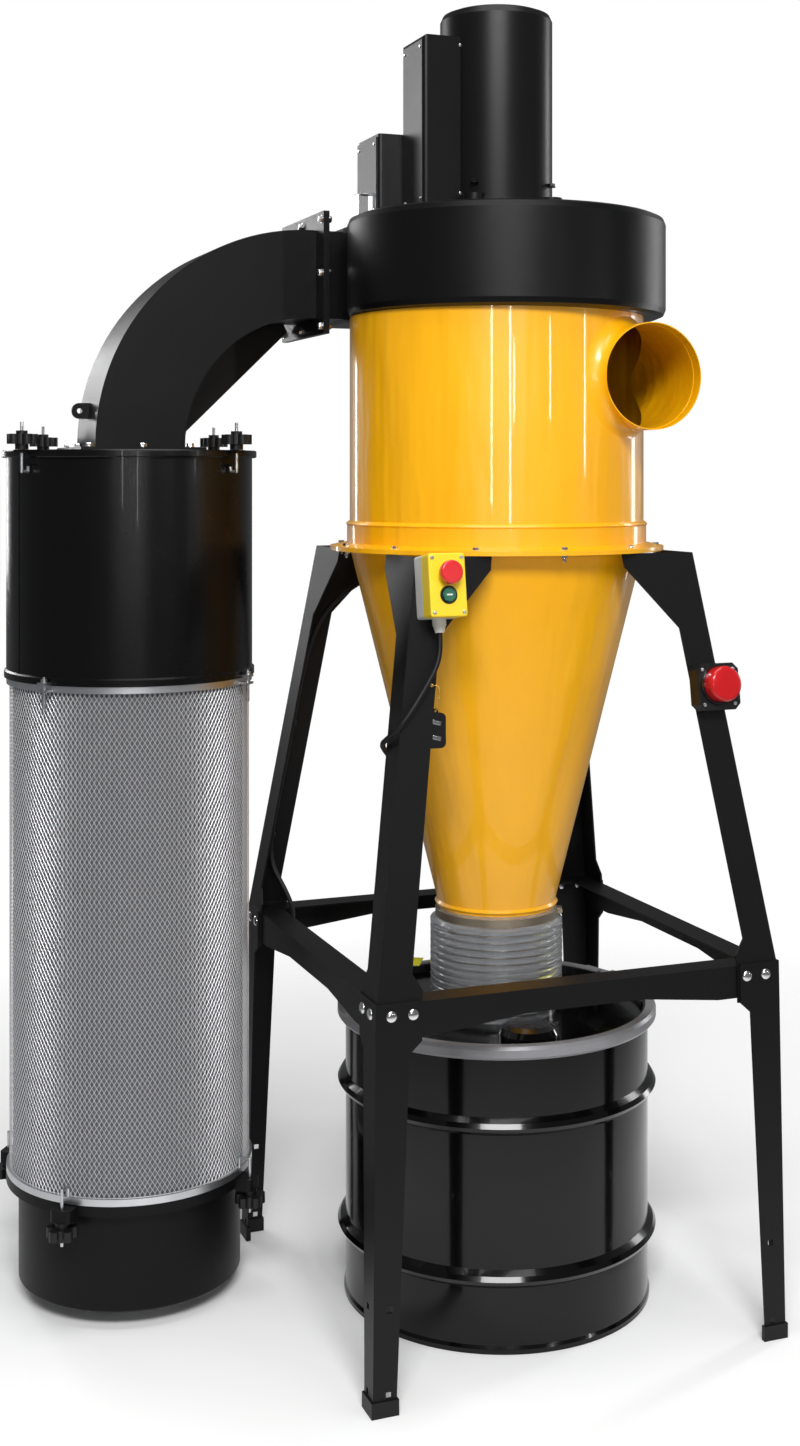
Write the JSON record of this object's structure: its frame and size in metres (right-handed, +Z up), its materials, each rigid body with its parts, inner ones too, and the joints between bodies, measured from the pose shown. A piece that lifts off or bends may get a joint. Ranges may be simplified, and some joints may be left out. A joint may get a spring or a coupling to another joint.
{
  "type": "cyclone separator",
  "caption": "Cyclone dust separator on a four-legged stand, with a fan and motor on top, a collecting drum below and a hanging cartridge filter.",
  "frame": {"origin": "on the floor, on the common vertical axis of the cyclone and the drum", "axes": "+Z up, -Y out of the inlet mouth, -X towards the hanging filter"},
  "size_m": [1.2938, 0.8958, 2.416],
  "materials": {
    "yellow_paint": "satin",
    "black_paint": "satin",
    "black_drum": "gloss",
    "black_plastic": "matte",
    "rubber": "matte",
    "zinc": "brushed",
    "aluminium": "satin",
    "media": "matte",
    "clear_hose": "gloss",
    "ring_paint": "satin",
    "yellow_plastic": "satin",
    "grey_plastic": "satin",
    "red_plastic": "gloss",
    "green_plastic": "gloss",
    "red_lens": "gloss",
    "gloss_black": "gloss",
    "brass": "polished"
  },
  "bodies": {
    "frame": {"barrel": "yellow_paint", "beacon_base": "black_plastic", "beacon_lens": "red_lens", "boots": "rubber", "brace_back": "black_paint", "brace_front": "black_paint", "brace_left": "black_paint", "brace_right": "black_paint", "cable_clips": "black_plastic", "capacitor_box": "black_paint", "cone": "yellow_paint", "control_box": "black_plastic", "control_gland": "black_plastic", "drum_lid": "black_drum", "drum_shell": "black_drum", "elbow": "black_paint", "fan_housing": "black_paint", "filter_media": "media", "filter_mesh": "aluminium", "filter_pan": "black_plastic", "filter_rings": "aluminium", "flex_hose": "clear_hose", "fob_chain": "brass", "hose_clamp": "zinc", "inlet_pipe": "yellow_paint", "lid_hooks": "zinc", "lid_port": "gloss_black", "lock_ring": "ring_paint", "lower_leg_back_left": "black_paint", "lower_leg_back_right": "black_paint", "lower_leg_front_left": "black_paint", "lower_leg_front_right": "black_paint", "mid_clamps": "zinc", "motor": "black_paint", "pan_hooks": "zinc", "plenum_drum": "black_paint", "plenum_lid": "black_paint", "remote_fob": "black_plastic", "strap_bracket": "zinc", "switch_base": "grey_plastic", "switch_cable": "rubber", "switch_cover": "yellow_plastic", "switch_gland": "grey_plastic", "upper_leg_back_left": "black_paint", "upper_leg_back_right": "black_paint", "upper_leg_front_left": "black_paint", "upper_leg_front_right": "black_paint"},
    "stop_button": {"stop_button": "red_plastic"},
    "start_button": {"start_button": "green_plastic"},
    "ring_lever": {"ring_lever": "ring_paint"},
    "lid_knob_1": {"lid_knob_1": "black_plastic"},
    "pan_knob_1": {"pan_knob_1": "black_plastic"},
    "lid_knob_2": {"lid_knob_2": "black_plastic"},
    "pan_knob_2": {"pan_knob_2": "black_plastic"},
    "lid_knob_3": {"lid_knob_3": "black_plastic"},
    "pan_knob_3": {"pan_knob_3": "black_plastic"},
    "lid_knob_4": {"lid_knob_4": "black_plastic"},
    "pan_knob_4": {"pan_knob_4": "black_plastic"}
  },
  "joints": [
    {"name": "stop_press", "type": "slide", "parent": "frame", "child": "stop_button", "axis": [0, 0.989, -0.1476], "range_m": [0, 0.005], "stiffness_N_per_m": 400},
    {"name": "start_press", "type": "slide", "parent": "frame", "child": "start_button", "axis": [0, 0.989, -0.1476], "range_m": [0, 0.004], "stiffness_N_per_m": 400},
    {"name": "ring_latch", "type": "hinge", "parent": "frame", "child": "ring_lever", "pos_m": [0.2975, 0.09338, 0.53], "axis": [0, 0, 1], "range_deg": [-120, 0]},
    {"name": "lid_knob_turn_1", "type": "hinge", "parent": "frame", "child": "lid_knob_1", "pos_m": [-0.44694, 0.40513, 1.605], "axis": [0, 0, 1], "continuous": true},
    {"name": "lid_knob_turn_2", "type": "hinge", "parent": "frame", "child": "lid_knob_2", "pos_m": [-0.77927, 0.47275, 1.605], "axis": [0, 0, 1], "continuous": true},
    {"name": "lid_knob_turn_3", "type": "hinge", "parent": "frame", "child": "lid_knob_3", "pos_m": [-0.87364, 0.14364, 1.605], "axis": [0, 0, 1], "continuous": true},
    {"name": "lid_knob_turn_4", "type": "hinge", "parent": "frame", "child": "lid_knob_4", "pos_m": [-0.49547, 0.05981, 1.605], "axis": [0, 0, 1], "continuous": true},
    {"name": "pan_knob_turn_1", "type": "hinge", "parent": "frame", "child": "pan_knob_1", "pos_m": [-0.49547, 0.45539, 0.2], "axis": [0, 0, 1], "continuous": true},
    {"name": "pan_knob_turn_2", "type": "hinge", "parent": "frame", "child": "pan_knob_2", "pos_m": [-0.85809, 0.39795, 0.2], "axis": [0, 0, 1], "continuous": true},
    {"name": "pan_knob_turn_3", "type": "hinge", "parent": "frame", "child": "pan_knob_3", "pos_m": [-0.81467, 0.06816, 0.2], "axis": [0, 0, 1], "continuous": true},
    {"name": "pan_knob_turn_4", "type": "hinge", "parent": "frame", "child": "pan_knob_4", "pos_m": [-0.46057, 0.09293, 0.2], "axis": [0, 0, 1], "continuous": true}
  ]
}
